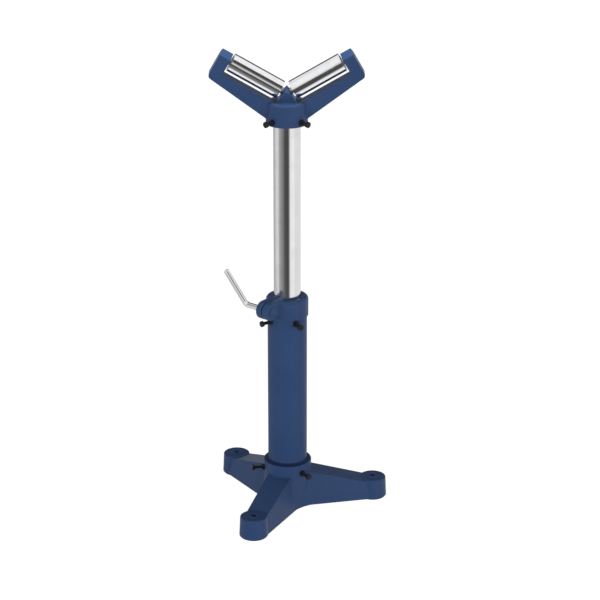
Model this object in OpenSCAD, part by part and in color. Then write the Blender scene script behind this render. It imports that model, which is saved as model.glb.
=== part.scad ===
// Height-adjustable V-roller stand: a cast three-legged base, a column pipe, a split
// clamp with a cranked lever, a chromed mast and a V head with two rollers on bearings.
// +Z is up, the floor is z = 0 and the column's axis is x = y = 0. The mast is drawn raised.

/* [Column and mast] */
// Outside diameter of the column pipe
column_d = 88.9; // [80:0.1:96]
// Wall of the column pipe
column_wall = 5; // [3:0.5:5.5]
// Height of the column's top end above the floor
column_top = 462; // [300:1:900]
// Outside diameter of the mast pipe
mast_d = 60.3; // [54:0.1:63]
// Wall of the mast pipe
mast_wall = 4.5; // [3.5:0.5:8]
// Length of bare mast between the clamp and the head
mast_out = 401; // [100:1:700]
// Length of mast that stays inside, measured down from the clamp's top
mast_inside = 100; // [90:1:200]

/* [Base casting] */
// Distance from the column's axis to each floor bolt
leg_reach = 199; // [170:1:260]
// Angle of the first leg from +X
leg_turn = 7.5; // [0:0.5:60]
// Wall of the base's hub round the column
base_hub_wall = 10; // [8.5:0.5:15]
// Height of the hub's top above the floor
base_hub_top = 107; // [90:1:140]
// Height of the legs' underside above the floor
leg_lift = 3; // [2:0.5:8]
// Width of a leg's underside, measured at the column's axis
leg_foot_root_w = 93; // [84:1:100]
// Width of a leg's underside at the floor bolt
leg_foot_tip_w = 60; // [50:1:62]
// Width of a leg's top, measured at the column's axis
leg_crown_root_w = 58; // [50:1:70]
// Width of a leg's top at the floor bolt
leg_crown_tip_w = 49; // [36:1:56]
// Height of a leg's top, measured at the column's axis
leg_crown_root_z = 94; // [80:1:100]
// Height of a leg's top at the floor bolt
leg_crown_tip_z = 40; // [36:1:44]
// Wall of the hollow legs
leg_wall = 8; // [5:0.5:12]
// Radius of the fillet between two legs at the floor
valley_r = 85; // [40:1:95]
// Diameter of a foot at its lower edge
foot_d = 65; // [62:1:76]
// Height of a foot's top above the floor
foot_top = 48; // [44.5:0.5:60]
// Diameter of the raised ring round a bolt hole
foot_ring_d = 27; // [22:1:36]
// Height of the raised ring round a bolt hole
foot_ring_h = 1.5; // [0.5:0.5:4]
// Diameter of the floor bolt holes
floor_hole_d = 13; // [8:0.5:16]

/* [Clamp] */
// Step from the column's surface out to the clamp's collar
collar_step = 3.2; // [1.6:0.2:7]
// Height of the clamp's collar above the column
collar_h = 45; // [40:1:80]
// Radius of the collar's top edge
collar_edge = 8; // [3:0.5:10]
// Depth of the clamp's skirt inside the column
skirt_h = 30; // [20:1:60]
// Angle of the clamp's slit from +X
slit_turn = 230; // [225:1:245]
// Width of the slit
slit_w = 3; // [1.5:0.5:5]
// Radius of the two round ears
ear_r = 20.5; // [16:0.5:21]
// Distance from the column's axis to the clamp screw
ear_reach = 69.3; // [66:0.1:80]
// Drop of the clamp screw below the collar's top
ear_drop = 17; // [16.5:0.5:24]
// Thickness of one ear
ear_t = 16; // [12:0.5:20]
// Radius of an ear's outer edge
ear_edge = 3.5; // [1:0.5:5]

/* [Lever] */
// Diameter of the lever's bar
lever_d = 13; // [10:0.5:15]
// Diameter of the lever's thread
lever_screw_d = 12; // [8:0.5:12]
// Length of the straight stretch between the ear and the bend
lever_stem = 43; // [24:1:50]
// Length of the cranked arm
lever_arm = 92; // [60:1:100]
// Angle through which the bar is bent
lever_bend = 48; // [20:1:60]

/* [V head] */
// Wall of the head's hub round the mast
head_hub_wall = 16; // [13:0.5:21]
// Height of the head's hub
head_hub_h = 50; // [45:1:60]
// Depth of the V arms from front to back
head_depth = 34; // [32:1:44]
// Slope of each roller
roller_slope = 30; // [24:1:36]
// Height of the point where the roller axes meet, above the hub's lower face
axis_cross_h = 67; // [66:1:80]
// Distance from the axes' crossing to an arm's outer end
arm_end = 169; // [160:1:230]
// Thickness of the block that carries a roller's outer end
block_t = 26; // [20:1:34]
// Height of that block's ridge above the roller's axis
block_ridge = 18; // [14:0.5:24]
// Height of the bevels that run down from the ridges of the blocks and the peak
bevel_h = 12.5; // [6:0.5:14]
// Depth of an arm's outer end below the roller's axis
arm_end_drop = 50.6; // [46:0.2:60]
// Angle of the arms' underside from level
underside_rise = 36.5; // [34:0.1:40]
// Radius of an arm's lower outer corner
arm_corner_r = 9; // [3:1:14]
// Radius between the hub and the arms
head_fillet = 5; // [3:1:12]
// Distance from the axes' crossing to the peak's side
peak_face = 9.3; // [8.5:0.1:11]

/* [Rollers] */
// Outside diameter of a roller
roller_d = 42.4; // [36:0.1:46]
// Wall of a roller's pipe
roller_wall = 3.2; // [2:0.1:4.5]
// Gap between a roller's inner end and the peak
roller_inner_gap = 7.2; // [5:0.1:9]
// Gap between a roller's outer end and its block
roller_outer_gap = 4; // [1:0.1:6]
// Gap under a roller
roller_floor_gap = 9; // [4:0.2:14]
// Diameter of the roller axles
axle_d = 10; // [8:0.5:10]
// Diameter of the ball bearings
bearing_d = 26; // [26:0.5:30]
// Width of the ball bearings
bearing_w = 8; // [7:0.5:10]

/* [Set bolts] */
// Thread diameter of the set bolts
bolt_d = 8; // [6:1:10]
// Width across the flats of bolt heads and lock nuts
bolt_flats = 13; // [10:1:17]
// Thickness of a bolt head
bolt_head_t = 5.3; // [4:0.1:7]
// Thickness of a lock nut
bolt_nut_t = 6.5; // [4:0.5:8]
// Projection of the base's and column's set bolts
bolt_out = 28; // [20:1:34]
// Projection of the head's set bolts
head_bolt_out = 24; // [18:1:30]
// Height of the base's set bolts above the floor
base_bolt_z = 87; // [84:1:98]
// Drop of the column's set bolts below the column's top
column_bolt_drop = 9; // [8:0.5:16]
// Height of the head's set bolts above the hub's lower face
head_bolt_rise = 10; // [9:0.5:16]

/* [Hidden] */
$fn = 96;

paint = [0.19, 0.27, 0.41];
chrome = [0.80, 0.80, 0.82];
black_steel = [0.05, 0.06, 0.08];
rubber = [0.03, 0.05, 0.10];
bright_steel = [0.62, 0.63, 0.65];
bronze = [0.60, 0.47, 0.26];

// Overrun of every cut past the face that it leaves
over = 1;
// Radial gap of pieces that are pressed, screwed or seated in each other
seat_gap = 0.05;
// Radial gap of the mast in the clamp's bore and of the bush in the column
slide_gap = 0.3;
// Gap beside a face that turns
turn_gap = 0.1;
// Radial gap round balls and between turning rings
race_gap = 0.3;
// Small chamfer of screw ends
screw_chamfer = 0.8;

// Base
leg_count = 3;
leg_step = 360 / leg_count;
half_step = leg_step / 2;
column_r = column_d / 2;
column_bore_r = column_r - column_wall;
column_seat_z = 8;
column_ledge = 6.5;
base_hub_d = column_d + 2 * base_hub_wall;
base_hub_edge = 1.5;
foot_draft = 2;
foot_edge = 2.5;
foot_cut_d = foot_d - 2 * foot_draft - foot_edge;
leg_narrowing = (leg_foot_root_w - leg_foot_tip_w) / 2 / leg_reach;
leg_fall = (leg_crown_root_z - leg_crown_tip_z) / leg_reach;
side_norm = sqrt(1 + leg_narrowing * leg_narrowing);
side_draft = (leg_foot_root_w - leg_crown_root_w) / 2 / (leg_crown_root_z - leg_lift);
valley_reach = (valley_r * side_norm + leg_foot_root_w / 2)
    / (sin(half_step) + leg_narrowing * cos(half_step));
skirt_x = valley_reach * cos(half_step) - valley_r * leg_narrowing / side_norm;
skirt_top = leg_crown_root_z - leg_fall * skirt_x;
valley_top_r = valley_r + side_draft * (skirt_top - leg_lift) / side_norm;
leg_start = base_hub_d / 4;
core_start = base_hub_d / 2 + leg_wall;
core_end = leg_reach - foot_d / 2 - leg_wall / 2;
seam = 0.01;
// How far the valley's surface reaches into the leg sides, so that they cross
valley_sink = 0.5;
// How far the web's underside stays above the legs' underside
web_rise = 0.5;
// How far the hub's lower end stays inside the web
hub_sink = 7;

// Seal ring on the hub
seal_outer_r = base_hub_d / 2 - base_hub_edge;
seal_lip_h = 4.6;
seal_rim_h = 0.6;
seal_lip_t = 1.8;

// Clamp
clamp_top = column_top + collar_h;
collar_d = column_d + 2 * collar_step;
mast_r = mast_d / 2;
clamp_bore_r = mast_r + slide_gap;
clamp_chamfer = 3;
skirt_r = column_bore_r - seat_gap;
skirt_z = column_top - skirt_h;
ear_z = clamp_top - ear_drop;
ear_boss_r = 12;
ear_boss_h = 2.5;
screw_web = 3;
ear_outer = slit_w / 2 + ear_t;

// Lever
washer_t = 2.5;
washer_r = 12;
screw_free_gap = 0.5;
lever_collar_r = 10;
lever_collar_t = 5;
lever_bend_r = 15;
lever_start = ear_outer + washer_t + turn_gap;
lever_tip_edge = 1.5;
lever_sides = 24;
bend_steps = 8;
bend_run = lever_bend_r * tan(lever_bend / 2);
bend_z = ear_outer + lever_stem - bend_run;

// Mast, bush and circlips
mast_bottom = clamp_top - mast_inside;
head_z = clamp_top + mast_out;
mast_socket_h = 37;
mast_top = head_z + mast_socket_h;
circlip_t = 1.8;
circlip_depth = 1.5;
circlip_r = (mast_r + column_bore_r) / 2;
circlip_side_gap = 0.1;
bush_stop_gap = 0.6;
bush_top = skirt_z - bush_stop_gap - circlip_t - 2 * circlip_side_gap;
bush_h = 18;
bush_z = bush_top - bush_h;
bush_relief_w = 6;
bush_relief_depth = 1;

// Head
cross_z = head_z + axis_cross_h;
half_depth = head_depth / 2;
head_hub_d = mast_d + 2 * head_hub_wall;
head_hub_r = head_hub_d / 2;
head_hub_edge = 5;
head_fillet_x = sqrt(pow(head_hub_r + head_fillet, 2) - pow(half_depth + head_fillet, 2));
roller_r = roller_d / 2;
slot_floor = -(roller_r + roller_floor_gap);
block_inner = arm_end - block_t;
block_corner_r = 3;
// How far the outline reaches above the ridges, so that the bevels meet in an edge
ridge_sink = 0.3;
peak_half_w = 0.6;
peak_top = (peak_face - peak_half_w * cos(roller_slope)) / sin(roller_slope);
axle_peak_end = 4.5;
axle_end_gap = 0.3;
axle_outer_gap = 2;
corner_steps = 8;
head_foot_lift = 4;
grub_d = 6;
grub_h = 10;
grub_socket_flats = 3;
grub_socket_h = 4;

// Rollers and bearings
roller_start = peak_face + roller_inner_gap;
roller_end = block_inner - roller_outer_gap;
roller_bore_r = roller_r - roller_wall;
plug_recess = 1;
plug_shoulder_t = 3;
bearing_recess = 1;
plug_t = bearing_recess + bearing_w + plug_shoulder_t;
bearing_r = bearing_d / 2;
axle_r = axle_d / 2;
race_t = 2.3;
inner_ring_r = axle_r + seat_gap + race_t;
outer_ring_r = bearing_r - race_t;
ball_track_r = (inner_ring_r + outer_ring_r) / 2;
ball_r = (outer_ring_r - inner_ring_r) / 2 + race_gap;
ball_count = 7;
shield_t = 1;
left_bearing_a = roller_start + plug_recess + bearing_recess;
right_bearing_a = roller_end - plug_recess - bearing_recess - bearing_w;

base_bolt_angles = [for (k = [0 : leg_count - 1]) leg_turn + half_step + k * leg_step];
column_bolt_angles = [216, 295];
head_bolt_angles = [228, 312];

function height_at(x) = leg_crown_root_z - leg_fall * x;
function foot_half_w(x) = leg_foot_root_w / 2 - leg_narrowing * x;
function crown_half_w(x) =
    leg_crown_root_w / 2 - (leg_crown_root_w - leg_crown_tip_w) / 2 * x / leg_reach;
// Where a fillet of radius r touches the side of a leg, seen from above
function touch_point(r) = [
    valley_reach * cos(half_step) - r * leg_narrowing / side_norm,
    valley_reach * sin(half_step) - r / side_norm
];
function turned(p, angle) = [
    p[0] * cos(angle) - p[1] * sin(angle), p[0] * sin(angle) + p[1] * cos(angle)
];
// A point of the V head: a runs along a roller's axis, n is square to it
function arm_point(a, n) = [
    a * cos(roller_slope) - n * sin(roller_slope),
    cross_z + a * sin(roller_slope) + n * cos(roller_slope)
];
function arc(centre, r, from, to, steps) = [
    for (k = [0 : steps]) let (t = from + (to - from) * k / steps)
        [centre[0] + r * cos(t), centre[1] + r * sin(t)]
];

// A drum with a rounded top edge, standing on z = 0
module rounded_drum(r, h, edge) {
    rotate_extrude() {
        square([r, h - edge]);
        square([r - edge, h]);
        translate([r - edge, h - edge]) circle(r = edge);
    }
}

// A ring between two radii, standing on z = 0
module ring(outer, inner, h) {
    difference() {
        cylinder(r = outer, h = h);
        translate([0, 0, -over]) cylinder(r = inner, h = h + 2 * over);
    }
}

// Places children at height z with their own z pointing outwards at this angle
module radial(angle, z, r) {
    rotate(angle) translate([r, 0, z]) rotate([0, 90, 0]) children();
}

// Places children on a roller's axis, with their own z along it, side 1 right, -1 left
module on_axle(side, a) {
    translate([0, 0, cross_z]) rotate([0, side * (90 - roller_slope), 0])
        translate([0, 0, a]) children();
}

// Places children on the clamp screw, their own z along it towards the lever
module on_clamp_screw(start) {
    rotate(slit_turn) translate([ear_reach, 0, ear_z]) rotate([90, 0, 0])
        translate([0, 0, start]) children();
}

module hexagon_bar(flats, h) {
    cylinder(d = flats / cos(30), h = h, $fn = 6);
}

// A hexagon head with its outer corners turned off
module hexagon_head(flats, h) {
    corner_r = flats / 2 / cos(30);
    intersection() {
        hexagon_bar(flats, h);
        union() {
            cylinder(r = corner_r, h = h - screw_chamfer);
            translate([0, 0, h - screw_chamfer])
                cylinder(r1 = corner_r, r2 = flats / 2 - screw_chamfer / 2, h = screw_chamfer);
        }
    }
}

// A set bolt from its tip at r = tip to the head's face at r = surface + out
module set_bolt(angle, z, tip, surface, out) {
    radial(angle, z, tip) {
        cylinder(r1 = bolt_d / 2 - screw_chamfer, r2 = bolt_d / 2, h = screw_chamfer);
        translate([0, 0, screw_chamfer])
            cylinder(d = bolt_d, h = surface + out - bolt_head_t - tip - screw_chamfer);
    }
    radial(angle, z, surface + out - bolt_head_t) hexagon_head(bolt_flats, bolt_head_t);
}

module lock_nut(angle, z, surface) {
    radial(angle, z, surface) difference() {
        hexagon_head(bolt_flats, bolt_nut_t);
        translate([0, 0, -over]) cylinder(r = bolt_d / 2 + seat_gap, h = bolt_nut_t + 2 * over);
    }
}

module bolt_hole(angle, z, from, to) {
    radial(angle, z, from) cylinder(r = bolt_d / 2 + seat_gap, h = to - from);
}

// Cross-section of a leg at distance x, drawn in by wall on its sides and top
module leg_slice(x, wall, floor_z) {
    foot = foot_half_w(x) - wall;
    crown = crown_half_w(x) - wall;
    top = height_at(x) - wall;
    translate([x, 0, 0]) rotate([90, 0, 90]) linear_extrude(height = seam)
        polygon([[-foot, floor_z], [foot, floor_z], [crown, top], [-crown, top]]);
}

module base_leg() {
    difference() {
        hull() {
            leg_slice(leg_start, 0, leg_lift);
            leg_slice(leg_reach, 0, leg_lift);
        }
        translate([leg_reach, 0, foot_top]) cylinder(d = foot_cut_d, h = leg_crown_root_z);
    }
    translate([leg_reach, 0, 0]) {
        translate([0, 0, leg_lift]) foot_boss();
        cylinder(d = foot_d - 2 * foot_edge, h = leg_lift + over);
        cylinder(d = foot_ring_d, h = foot_top + foot_ring_h);
    }
}

// A foot: a drafted drum with a rounded top edge
module foot_boss() {
    boss_h = foot_top - leg_lift;
    rotate_extrude() {
        polygon([
            [0, 0], [foot_d / 2, 0], [foot_d / 2 - foot_draft, boss_h - foot_edge], [0, boss_h - foot_edge]
        ]);
        square([foot_d / 2 - foot_draft - foot_edge, boss_h]);
        translate([foot_d / 2 - foot_draft - foot_edge, boss_h - foot_edge]) circle(r = foot_edge);
    }
}

// The web between the legs, hollowed by a cone between each two of them
module base_web() {
    low = touch_point(valley_r);
    high = touch_point(valley_top_r);
    web_h = skirt_top - leg_lift;
    rise_r = (valley_top_r - valley_r) / web_h;
    difference() {
        hull() {
            translate([0, 0, leg_lift + web_rise]) linear_extrude(height = seam) web_outline(low);
            translate([0, 0, skirt_top - seam]) linear_extrude(height = seam) web_outline(high);
        }
        for (k = [0 : leg_count - 1]) rotate(leg_turn + half_step + k * leg_step)
            translate([valley_reach, 0, leg_lift - over])
                cylinder(
                    r1 = valley_r + valley_sink - rise_r * over,
                    r2 = valley_top_r + valley_sink + rise_r * over,
                    h = web_h + 2 * over
                );
    }
}

module web_outline(p) {
    polygon([
        for (k = [0 : leg_count - 1]) each [
            turned([p[0], -p[1]], leg_turn + k * leg_step), turned(p, leg_turn + k * leg_step)
        ]
    ]);
}

module base_casting() {
    color(paint) difference() {
        union() {
            translate([0, 0, leg_lift + hub_sink])
                rounded_drum(base_hub_d / 2, base_hub_top - leg_lift - hub_sink, base_hub_edge);
            base_web();
            for (k = [0 : leg_count - 1]) rotate(leg_turn + k * leg_step) base_leg();
        }
        translate([0, 0, column_seat_z]) cylinder(r = column_r + seat_gap, h = base_hub_top);
        translate([0, 0, -over]) cylinder(r = column_r - column_ledge, h = base_hub_top);
        for (k = [0 : leg_count - 1]) rotate(leg_turn + k * leg_step) {
            hull() {
                leg_slice(core_start, leg_wall, -over);
                leg_slice(core_end, leg_wall, -over);
            }
            translate([leg_reach, 0, -over])
                cylinder(d = floor_hole_d, h = foot_top + foot_ring_h + 2 * over);
        }
        for (angle = base_bolt_angles) bolt_hole(angle, base_bolt_z, 0, base_hub_d);
    }
}

module base_seal_ring() {
    inner = column_r + seat_gap;
    color(rubber) translate([0, 0, base_hub_top]) rotate_extrude() polygon([
        [inner, 0], [seal_outer_r, 0], [seal_outer_r, seal_rim_h],
        [inner + seal_lip_t, seal_lip_h], [inner, seal_lip_h]
    ]);
}

module base_set_bolts() {
    color(black_steel) for (angle = base_bolt_angles)
        set_bolt(angle, base_bolt_z, column_r + seat_gap, base_hub_d / 2, bolt_out);
}

module base_lock_nuts() {
    color(black_steel) for (angle = base_bolt_angles)
        lock_nut(angle, base_bolt_z, base_hub_d / 2);
}

module column_tube() {
    color(paint) difference() {
        translate([0, 0, column_seat_z]) cylinder(r = column_r, h = column_top - column_seat_z);
        cylinder(r = column_bore_r, h = column_top + over);
        for (angle = column_bolt_angles)
            bolt_hole(angle, column_top - column_bolt_drop, 0, column_d);
    }
}

// One ear: a bar with a round end, its outer long edges rounded, z pointing outwards
module ear() {
    linear_extrude(height = ear_t - ear_edge) ear_outline(ear_r);
    linear_extrude(height = ear_t) ear_outline(ear_r - ear_edge);
    translate([ear_reach, 0, ear_t - ear_edge]) rotate_extrude()
        translate([ear_r - ear_edge, 0]) circle(r = ear_edge);
    for (side = [-1, 1]) translate([0, side * (ear_r - ear_edge), ear_t - ear_edge])
        rotate([0, 90, 0]) cylinder(r = ear_edge, h = ear_reach);
}

module ear_outline(r) {
    translate([0, -r]) square([ear_reach, 2 * r]);
    translate([ear_reach, 0]) circle(r = r);
}

// The ears and their boss, outside the collar's bore
module clamp_ears() {
    rotate(slit_turn) translate([0, 0, ear_z]) rotate([90, 0, 0]) {
        translate([0, 0, slit_w / 2 - over]) intersection() {
            translate([0, 0, over]) ear();
            ear_keep();
        }
        mirror([0, 0, 1]) translate([0, 0, slit_w / 2 - over]) intersection() {
            translate([0, 0, over]) ear();
            ear_keep();
        }
        mirror([0, 0, 1]) translate([ear_reach, 0, slit_w / 2 + ear_t - over])
            cylinder(r = ear_boss_r, h = ear_boss_h + over);
    }
}

// Keeps only what lies outwards of the collar's axis
module ear_keep() {
    translate([0, -ear_r - over, 0]) cube([ear_reach + 2 * ear_r, 2 * (ear_r + over), ear_t + 2 * over]);
}

module clamp_casting() {
    color(paint) difference() {
        union() {
            translate([0, 0, column_top]) rounded_drum(collar_d / 2, collar_h, collar_edge);
            translate([0, 0, skirt_z]) cylinder(r = skirt_r, h = skirt_h + over);
            clamp_ears();
        }
        translate([0, 0, skirt_z - over])
            cylinder(r = clamp_bore_r, h = clamp_top + ear_r - skirt_z);
        translate([0, 0, clamp_top - clamp_chamfer]) cylinder(
            r1 = clamp_bore_r, r2 = clamp_bore_r + clamp_chamfer + over, h = clamp_chamfer + over
        );
        rotate(slit_turn) translate([0, -slit_w / 2, skirt_z - over])
            cube([ear_reach + 2 * ear_r, slit_w, clamp_top + ear_r - skirt_z]);
        on_clamp_screw(-ear_outer + screw_web - ear_boss_h)
            cylinder(r = lever_screw_d / 2 + seat_gap, h = ear_outer + ear_boss_h - screw_web);
        on_clamp_screw(0)
            cylinder(r = lever_screw_d / 2 + screw_free_gap, h = ear_outer + over);
    }
}

module column_set_bolts() {
    color(black_steel) for (angle = column_bolt_angles)
        set_bolt(angle, column_top - column_bolt_drop, skirt_r + seat_gap, column_r, bolt_out);
}

module column_lock_nuts() {
    color(black_steel) for (angle = column_bolt_angles)
        lock_nut(angle, column_top - column_bolt_drop, column_r);
}

module clamp_washer() {
    color(bright_steel) on_clamp_screw(ear_outer)
        ring(washer_r, lever_screw_d / 2 + screw_free_gap, washer_t);
}

// The lever's bar as stations along its axis: [y, z, tilt, radius]
function bend_station(t) = [
    lever_bend_r * (1 - cos(t)), bend_z + lever_bend_r * sin(t), t, lever_d / 2
];
function arm_station(run, r) = [
    lever_bend_r * (1 - cos(lever_bend)) + run * sin(lever_bend),
    bend_z + lever_bend_r * sin(lever_bend) + run * cos(lever_bend), lever_bend, r
];
function station_ring(s) = [
    for (k = [0 : lever_sides - 1]) let (t = 360 * k / lever_sides) [
        s[3] * cos(t), s[0] + s[3] * sin(t) * cos(s[2]), s[1] - s[3] * sin(t) * sin(s[2])
    ]
];

module lever_bar() {
    arm_h = lever_arm - bend_run;
    stations = concat(
        [[0, lever_start + lever_collar_t / 2, 0, lever_d / 2]],
        [for (k = [0 : bend_steps]) bend_station(lever_bend * k / bend_steps)],
        [arm_station(arm_h - lever_tip_edge, lever_d / 2)],
        [arm_station(arm_h, lever_d / 2 - lever_tip_edge)]
    );
    last = len(stations) - 1;
    n = lever_sides;
    polyhedron(
        points = [for (s = stations) each station_ring(s)],
        faces = concat(
            [[for (j = [0 : n - 1]) j]],
            [for (k = [0 : last - 1], j = [0 : n - 1])
                [k * n + j, (k + 1) * n + j, (k + 1) * n + (j + 1) % n, k * n + (j + 1) % n]],
            [[for (j = [n - 1 : -1 : 0]) last * n + j]]
        )
    );
}

// The lever: a thread, a collar and a bent bar
module clamp_lever() {
    screw_tip = -ear_outer + screw_web - ear_boss_h + over;
    color(chrome) on_clamp_screw(0) {
        translate([0, 0, screw_tip]) {
            cylinder(r1 = lever_screw_d / 2 - screw_chamfer, r2 = lever_screw_d / 2, h = screw_chamfer);
            translate([0, 0, screw_chamfer])
                cylinder(d = lever_screw_d, h = lever_start - screw_tip - screw_chamfer + over);
        }
        translate([0, 0, lever_start])
            rounded_drum(lever_collar_r, lever_collar_t, screw_chamfer);
        lever_bar();
    }
}

module mast_tube() {
    color(chrome) difference() {
        translate([0, 0, mast_bottom]) cylinder(r = mast_r, h = mast_top - mast_bottom);
        translate([0, 0, mast_bottom - over])
            cylinder(r = mast_r - mast_wall, h = mast_top - mast_bottom + 2 * over);
        for (z = [bush_z - circlip_t - 2 * circlip_side_gap, bush_top])
            translate([0, 0, z])
                ring(mast_r + over, mast_r - circlip_depth, circlip_t + 2 * circlip_side_gap);
    }
}

// A plain bearing bush with a shallow grease relief round its middle
module guide_bush() {
    color(bronze) translate([0, 0, bush_z]) difference() {
        ring(column_bore_r - slide_gap, mast_r + turn_gap, bush_h);
        translate([0, 0, (bush_h - bush_relief_w) / 2]) ring(
            column_bore_r + over, column_bore_r - slide_gap - bush_relief_depth, bush_relief_w
        );
    }
}

// Two open snap rings in the mast's grooves
module bush_circlips() {
    mouth_w = 5 * circlip_t;
    color(black_steel) for (z = [bush_z - circlip_t - circlip_side_gap, bush_top + circlip_side_gap])
        translate([0, 0, z]) difference() {
            ring(circlip_r, mast_r - circlip_depth + seat_gap, circlip_t);
            translate([0, -mouth_w / 2, -over]) cube([column_r, mouth_w, circlip_t + 2 * over]);
        }
}

// Half of the head's outline, from the peak's centre round the right arm to the hub
function half_outline() = let (
    end_low = arm_point(arm_end, -arm_end_drop),
    bend = 90 - underside_rise + roller_slope,
    // The lower corner's arc touches the arm's end and its underside
    corner_run = arm_corner_r * tan(bend / 2),
    corner = arm_point(arm_end - arm_corner_r, -arm_end_drop + corner_run),
    block_top = block_ridge + ridge_sink,
    top_corner = arm_point(arm_end - block_corner_r, block_top - block_corner_r),
    low_z = head_z + head_foot_lift
) concat(
    [[peak_half_w, cross_z + peak_top]],
    [arm_point(peak_face, slot_floor)],
    [arm_point(block_inner, slot_floor)],
    [arm_point(block_inner, block_top)],
    arc(top_corner, block_corner_r, 90 + roller_slope, roller_slope, corner_steps),
    arc(corner, arm_corner_r, roller_slope, roller_slope - bend, corner_steps),
    [[end_low[0] - (end_low[1] - low_z) / tan(underside_rise), low_z]]
);

module head_outline() {
    half = half_outline();
    count = len(half);
    polygon(concat(half, [for (k = [count - 1 : -1 : 0]) [-half[k][0], half[k][1]]]));
}

module head_slab(depth) {
    translate([0, depth / 2, 0]) rotate([90, 0, 0]) linear_extrude(height = depth) head_outline();
}

// What lies above two bevels that meet in a ridge, as [depth, height] points
function above_ridge(ridge) = let (
    far = half_depth + over,
    low = ridge - bevel_h * far / half_depth,
    high = ridge + bevel_h
) [[-far, low], [0, ridge], [far, low], [far, high], [-far, high]];

// The bevels of the blocks and of the peak
module head_bevels() {
    for (side = [-1, 1]) on_axle(side, block_inner - over)
        linear_extrude(height = block_t + 2 * over)
            polygon([for (p = above_ridge(block_ridge)) [-side * p[1], p[0]]]);
    translate([-2 * peak_face, 0, cross_z]) rotate([90, 0, 90])
        linear_extrude(height = 4 * peak_face) polygon(above_ridge(peak_top - ridge_sink));
}

// The four fillets between the hub and the arms, seen from above
module head_fillet_outline() {
    for (sx = [-1, 1]) for (sy = [-1, 1]) difference() {
        polygon([
            [0, 0], [sx * head_fillet_x, 0], [sx * head_fillet_x, sy * (half_depth + head_fillet)]
        ]);
        translate([sx * head_fillet_x, sy * (half_depth + head_fillet)]) circle(r = head_fillet);
    }
}

module head_casting() {
    color(paint) difference() {
        union() {
            head_slab(head_depth);
            translate([0, 0, head_z]) rounded_drum(head_hub_r, head_hub_h, head_hub_edge);
            intersection() {
                head_slab(2 * head_hub_d);
                translate([0, 0, head_z]) linear_extrude(height = head_hub_h - head_hub_edge)
                    head_fillet_outline();
            }
        }
        translate([0, 0, head_z - over]) cylinder(r = mast_r + seat_gap, h = mast_socket_h + over);
        head_bevels();
        for (angle = head_bolt_angles) bolt_hole(angle, head_z + head_bolt_rise, 0, head_hub_d);
        for (side = [-1, 1]) {
            on_axle(side, axle_peak_end)
                cylinder(r = axle_r + seat_gap, h = peak_face - axle_peak_end + over);
            on_axle(side, block_inner - over)
                cylinder(r = axle_r + seat_gap, h = block_t + 2 * over);
            on_axle(side, arm_end - block_t / 2) rotate([-90, 0, 0])
                cylinder(r = grub_d / 2 + seat_gap, h = half_depth + over);
        }
    }
}

module head_set_bolts() {
    color(black_steel) for (angle = head_bolt_angles)
        set_bolt(angle, head_z + head_bolt_rise, mast_r + seat_gap, head_hub_r, head_bolt_out);
}

module head_lock_nuts() {
    color(black_steel) for (angle = head_bolt_angles)
        lock_nut(angle, head_z + head_bolt_rise, head_hub_r);
}

module axle(side) {
    start = axle_peak_end + axle_end_gap;
    color(bright_steel) on_axle(side, start)
        rounded_drum(axle_r, arm_end - axle_outer_gap - start, screw_chamfer);
}

module axle_left() {
    axle(-1);
}

module axle_right() {
    axle(1);
}

// Socket grub screws, in from behind, that hold the axles in the blocks
module axle_grub_screws() {
    color(black_steel) for (side = [-1, 1])
        on_axle(side, arm_end - block_t / 2) rotate([-90, 0, 0])
            translate([0, 0, axle_r + seat_gap]) difference() {
                rounded_drum(grub_d / 2, grub_h, screw_chamfer);
                translate([0, 0, grub_h - grub_socket_h])
                    hexagon_bar(grub_socket_flats, grub_socket_h + over);
            }
}

module axle_spacers() {
    color(bright_steel) for (side = [-1, 1]) {
        on_axle(side, peak_face + turn_gap)
            ring(inner_ring_r - race_gap, axle_r + seat_gap, left_bearing_a - peak_face - 2 * turn_gap);
        on_axle(side, right_bearing_a + bearing_w + turn_gap) ring(
            inner_ring_r - race_gap, axle_r + seat_gap,
            block_inner - right_bearing_a - bearing_w - 2 * turn_gap
        );
    }
}

// The groove in which the balls run
module ball_groove() {
    translate([0, 0, bearing_w / 2]) rotate_extrude()
        translate([ball_track_r, 0]) circle(r = ball_r + race_gap);
}

module bearing_inner_rings() {
    color(bright_steel) for (side = [-1, 1]) for (a = [left_bearing_a, right_bearing_a])
        on_axle(side, a) difference() {
            ring(inner_ring_r, axle_r + seat_gap, bearing_w);
            ball_groove();
        }
}

module roller_tube(side) {
    color(chrome) on_axle(side, roller_start)
        ring(roller_r, roller_bore_r, roller_end - roller_start);
}

module roller_tube_left() {
    roller_tube(-1);
}

module roller_tube_right() {
    roller_tube(1);
}

// A pressed-in end plug, its bearing seat opening towards z = 0
module roller_plug() {
    difference() {
        cylinder(r = roller_bore_r - seat_gap, h = plug_t);
        translate([0, 0, -over]) cylinder(r = bearing_r + seat_gap, h = plug_t - plug_shoulder_t + over);
        cylinder(r = outer_ring_r, h = plug_t + over);
    }
}

module roller_plugs(side) {
    color(bright_steel) {
        on_axle(side, roller_start + plug_recess) roller_plug();
        on_axle(side, roller_end - plug_recess) mirror([0, 0, 1]) roller_plug();
    }
}

module roller_plugs_left() {
    roller_plugs(-1);
}

module roller_plugs_right() {
    roller_plugs(1);
}

// An outer ring with its two shields
module bearing_outer_ring() {
    difference() {
        ring(bearing_r, inner_ring_r + race_gap, bearing_w);
        translate([0, 0, shield_t])
            ring(outer_ring_r, inner_ring_r - over, bearing_w - 2 * shield_t);
        ball_groove();
    }
}

module bearing_outer_rings(side) {
    color(bright_steel) for (a = [left_bearing_a, right_bearing_a]) on_axle(side, a)
        bearing_outer_ring();
}

module bearing_outer_rings_left() {
    bearing_outer_rings(-1);
}

module bearing_outer_rings_right() {
    bearing_outer_rings(1);
}

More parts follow.
